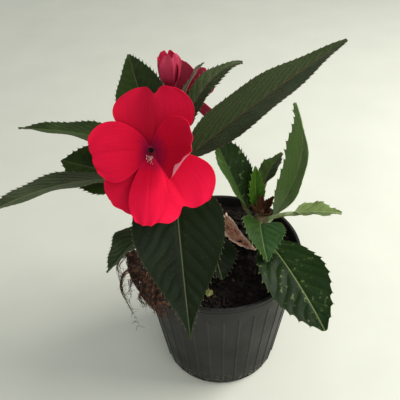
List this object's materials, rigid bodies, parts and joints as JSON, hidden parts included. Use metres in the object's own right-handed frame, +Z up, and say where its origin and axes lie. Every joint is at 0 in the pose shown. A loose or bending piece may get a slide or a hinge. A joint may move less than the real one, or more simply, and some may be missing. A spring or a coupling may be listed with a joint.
{
  "type": "potted new guinea impatiens",
  "caption": "New Guinea impatiens in bloom in a small ribbed nursery pot, with toothed lance-shaped leaves and a root mat over the rim; a standing house or bedding plant.",
  "frame": {"origin": "middle of the pot's flat base, on the surface that it stands on", "axes": "+Z up along the pot's axis, -Y to the front, where the open bloom faces, +X to the right seen from the front"},
  "size_m": [0.1988, 0.1436, 0.214],
  "materials": {
    "shade_petal": "satin",
    "stalk": "satin",
    "column": "satin",
    "petal": "satin",
    "bud": "matte",
    "dark_leaf": "satin",
    "pot": "satin",
    "roots": "matte",
    "heart": "satin",
    "soil": "matte",
    "stem": "satin",
    "withered": "matte",
    "young_leaf": "satin"
  },
  "bodies": {
    "root": {"bloom_back_petals": "shade_petal", "bloom_back_stalk": "stalk", "bloom_bud_petals": "shade_petal", "bloom_bud_stalk": "stalk", "bloom_front_column": "column", "bloom_front_petals": "petal", "bloom_front_stalk": "stalk", "fallen_bud": "bud", "leaf_front": "dark_leaf", "leaf_left_behind": "dark_leaf", "leaf_left_lower": "dark_leaf", "leaf_left_upper": "dark_leaf", "leaf_low_front": "dark_leaf", "leaf_low_left": "dark_leaf", "leaf_right_long": "dark_leaf", "leaf_top_edge": "dark_leaf", "leaf_top_left": "dark_leaf", "leaf_top_right": "dark_leaf", "pot": "pot", "root_mat": "roots", "side_heart": "heart", "soil": "soil", "stem_main": "stem", "stem_side": "stem", "withered_leaf": "withered", "young_leaf_behind": "young_leaf", "young_leaf_broad": "young_leaf", "young_leaf_drooping": "young_leaf", "young_leaf_right": "young_leaf", "young_leaf_small": "young_leaf", "young_leaf_tall": "young_leaf", "young_leaf_up_left": "young_leaf"}
  },
  "joints": []
}
